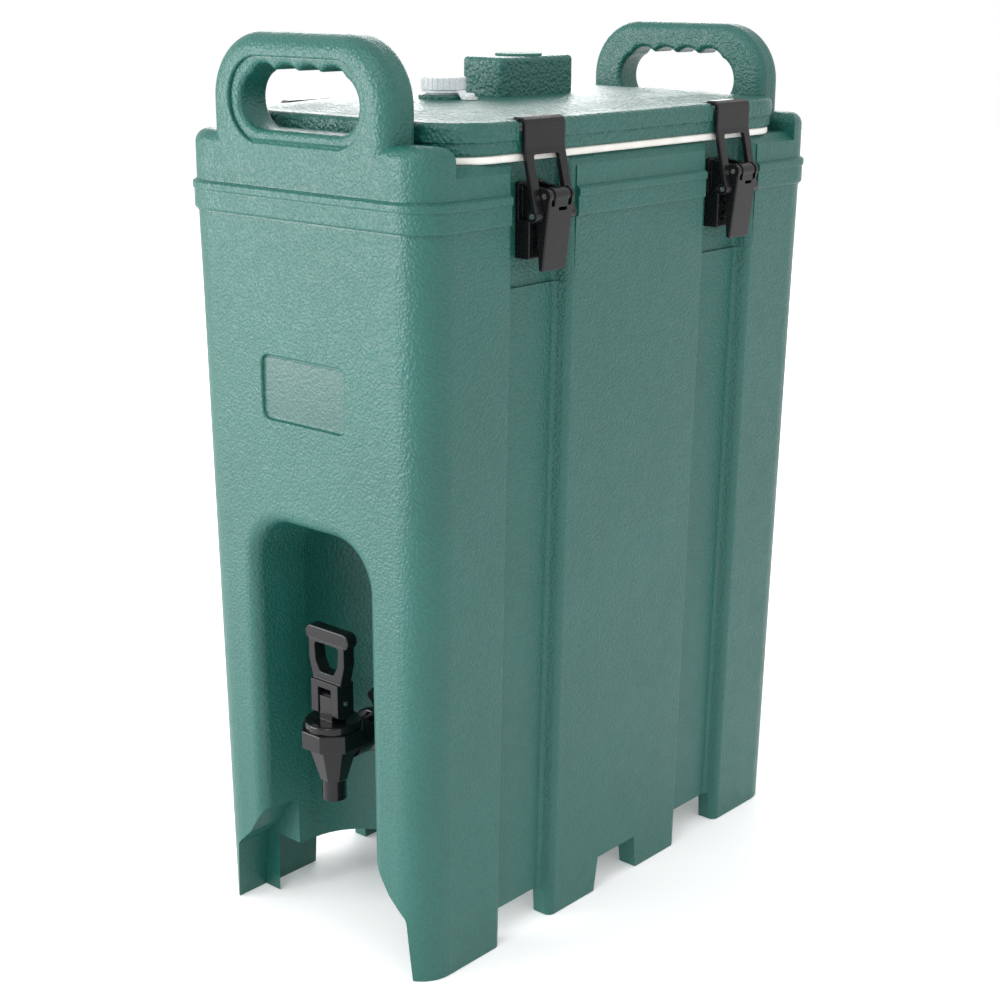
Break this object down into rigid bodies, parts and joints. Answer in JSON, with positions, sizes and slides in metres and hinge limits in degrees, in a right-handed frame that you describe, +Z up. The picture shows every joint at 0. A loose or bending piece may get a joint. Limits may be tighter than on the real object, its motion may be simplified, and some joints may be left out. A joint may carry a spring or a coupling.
{
  "type": "insulated food carrier",
  "caption": "Double-wall insulated drinks carrier with a clamped lift-off lid, draw latches, moulded end handles, a lid vent and a serving faucet in a front niche.",
  "frame": {"origin": "on the floor, at the middle of the foot print of the bounding box", "axes": "+Z up, along the height; the faucet niche faces -Y; the latches face +X and -X"},
  "size_m": [0.2532, 0.432, 0.622],
  "materials": {
    "green_polyethylene": "pebble-grained, satin",
    "green_plug_plastic": "fine matt",
    "insulation_foam": "open cut foam",
    "gasket_silicone": "smooth, satin",
    "seal_silicone": "smooth, satin",
    "vent_plastic": "translucent white, moulded",
    "latch_nylon": "fine satin grain",
    "faucet_plastic": "polished black",
    "stainless_steel": "drawn, bright"
  },
  "bodies": {
    "carrier_body": {"body_shell": "green_polyethylene", "tank_liner": "green_polyethylene", "end_grip_front": "green_polyethylene", "end_grip_rear": "green_polyethylene", "body_foam_core": "insulation_foam", "body_foam_plugs": "green_plug_plastic", "faucet_body": "faucet_plastic", "faucet_bonnet": "faucet_plastic", "faucet_handle_pin": "stainless_steel", "faucet_ring_nut": "faucet_plastic", "faucet_wing_nut": "faucet_plastic", "faucet_outer_washer": "seal_silicone", "faucet_inner_washer": "seal_silicone", "faucet_tank_nut": "faucet_plastic", "latch_base_front_right": "latch_nylon", "latch_screws_front_right": "stainless_steel", "latch_fixed_pin_front_right": "stainless_steel", "latch_base_rear_right": "latch_nylon", "latch_screws_rear_right": "stainless_steel", "latch_fixed_pin_rear_right": "stainless_steel", "latch_base_front_left": "latch_nylon", "latch_screws_front_left": "stainless_steel", "latch_fixed_pin_front_left": "stainless_steel", "latch_base_rear_left": "latch_nylon", "latch_screws_rear_left": "stainless_steel", "latch_fixed_pin_rear_left": "stainless_steel"},
    "lid": {"lid_shell": "green_polyethylene", "lid_foam_core": "insulation_foam", "lid_foam_plug": "green_plug_plastic", "lid_gasket": "gasket_silicone", "vent_neck": "vent_plastic", "vent_tether": "vent_plastic", "tether_anchor": "vent_plastic"},
    "vent_seal": {"vent_washer": "seal_silicone"},
    "vent_cap": {"vent_cap": "vent_plastic"},
    "faucet_handle": {"faucet_handle": "faucet_plastic"},
    "faucet_valve": {"faucet_stem": "stainless_steel", "faucet_seat_cup": "seal_silicone", "faucet_spring": "stainless_steel"},
    "lever_front_right": {"latch_lever_front_right": "latch_nylon", "latch_arm_pin_front_right": "stainless_steel"},
    "hook_front_right": {"hook_arm_front_right": "latch_nylon"},
    "lever_rear_right": {"latch_lever_rear_right": "latch_nylon", "latch_arm_pin_rear_right": "stainless_steel"},
    "hook_rear_right": {"hook_arm_rear_right": "latch_nylon"},
    "lever_front_left": {"latch_lever_front_left": "latch_nylon", "latch_arm_pin_front_left": "stainless_steel"},
    "hook_front_left": {"hook_arm_front_left": "latch_nylon"},
    "lever_rear_left": {"latch_lever_rear_left": "latch_nylon", "latch_arm_pin_rear_left": "stainless_steel"},
    "hook_rear_left": {"hook_arm_rear_left": "latch_nylon"}
  },
  "joints": [
    {"name": "lid_lift", "type": "slide", "parent": "carrier_body", "child": "lid", "axis": [0, 0, 1], "range_m": [0, 0.045]},
    {"name": "vent_rise", "type": "slide", "parent": "lid", "child": "vent_seal", "axis": [0, 0, 1], "range_m": [0, 0.003]},
    {"name": "vent_turn", "type": "hinge", "parent": "vent_seal", "child": "vent_cap", "pos_m": [0, -0.077, 0.585], "axis": [0, 0, 1], "range_deg": [0, 360]},
    {"name": "faucet_tilt", "type": "hinge", "parent": "carrier_body", "child": "faucet_handle", "pos_m": [0, -0.1915, 0.1775], "axis": [1, 0, 0], "range_deg": [0, 40], "stiffness_Nm_per_rad": 0.15, "springref_deg": -14.32},
    {"name": "valve_lift", "type": "slide", "parent": "carrier_body", "child": "faucet_valve", "axis": [0, 0, 1], "range_m": [0, 0.004], "deforming": ["faucet_spring"]},
    {"name": "lever_front_right_open", "type": "hinge", "parent": "carrier_body", "child": "lever_front_right", "pos_m": [0.1214, -0.104, 0.5242], "axis": [0, -1, 0], "range_deg": [0, 100]},
    {"name": "hook_front_right_swing", "type": "hinge", "parent": "lever_front_right", "child": "hook_front_right", "pos_m": [0.1182, -0.104, 0.5122], "axis": [0, -1, 0], "range_deg": [-162, 0]},
    {"name": "lever_rear_right_open", "type": "hinge", "parent": "carrier_body", "child": "lever_rear_right", "pos_m": [0.1214, 0.104, 0.5242], "axis": [0, -1, 0], "range_deg": [0, 100]},
    {"name": "hook_rear_right_swing", "type": "hinge", "parent": "lever_rear_right", "child": "hook_rear_right", "pos_m": [0.1182, 0.104, 0.5122], "axis": [0, -1, 0], "range_deg": [-162, 0]},
    {"name": "lever_front_left_open", "type": "hinge", "parent": "carrier_body", "child": "lever_front_left", "pos_m": [-0.1214, -0.104, 0.5242], "axis": [0, 1, 0], "range_deg": [0, 100]},
    {"name": "hook_front_left_swing", "type": "hinge", "parent": "lever_front_left", "child": "hook_front_left", "pos_m": [-0.1182, -0.104, 0.5122], "axis": [0, 1, 0], "range_deg": [-162, 0]},
    {"name": "lever_rear_left_open", "type": "hinge", "parent": "carrier_body", "child": "lever_rear_left", "pos_m": [-0.1214, 0.104, 0.5242], "axis": [0, 1, 0], "range_deg": [0, 100]},
    {"name": "hook_rear_left_swing", "type": "hinge", "parent": "lever_rear_left", "child": "hook_rear_left", "pos_m": [-0.1182, 0.104, 0.5122], "axis": [0, 1, 0], "range_deg": [-162, 0]}
  ],
  "couplings": [
    {"joint": "vent_rise", "follows": "vent_turn", "m_per_rad": 0.00047746},
    {"joint": "valve_lift", "follows": "faucet_tilt", "m_per_rad": 0.0057296},
    {"joint": "lever_front_right_open", "follows": "lid_lift", "rad_per_m": 38.785},
    {"joint": "hook_front_right_swing", "follows": "lid_lift", "rad_per_m": -62.831},
    {"joint": "lever_rear_right_open", "follows": "lid_lift", "rad_per_m": 38.785},
    {"joint": "hook_rear_right_swing", "follows": "lid_lift", "rad_per_m": -62.831},
    {"joint": "lever_front_left_open", "follows": "lid_lift", "rad_per_m": 38.785},
    {"joint": "hook_front_left_swing", "follows": "lid_lift", "rad_per_m": -62.831},
    {"joint": "lever_rear_left_open", "follows": "lid_lift", "rad_per_m": 38.785},
    {"joint": "hook_rear_left_swing", "follows": "lid_lift", "rad_per_m": -62.831}
  ]
}
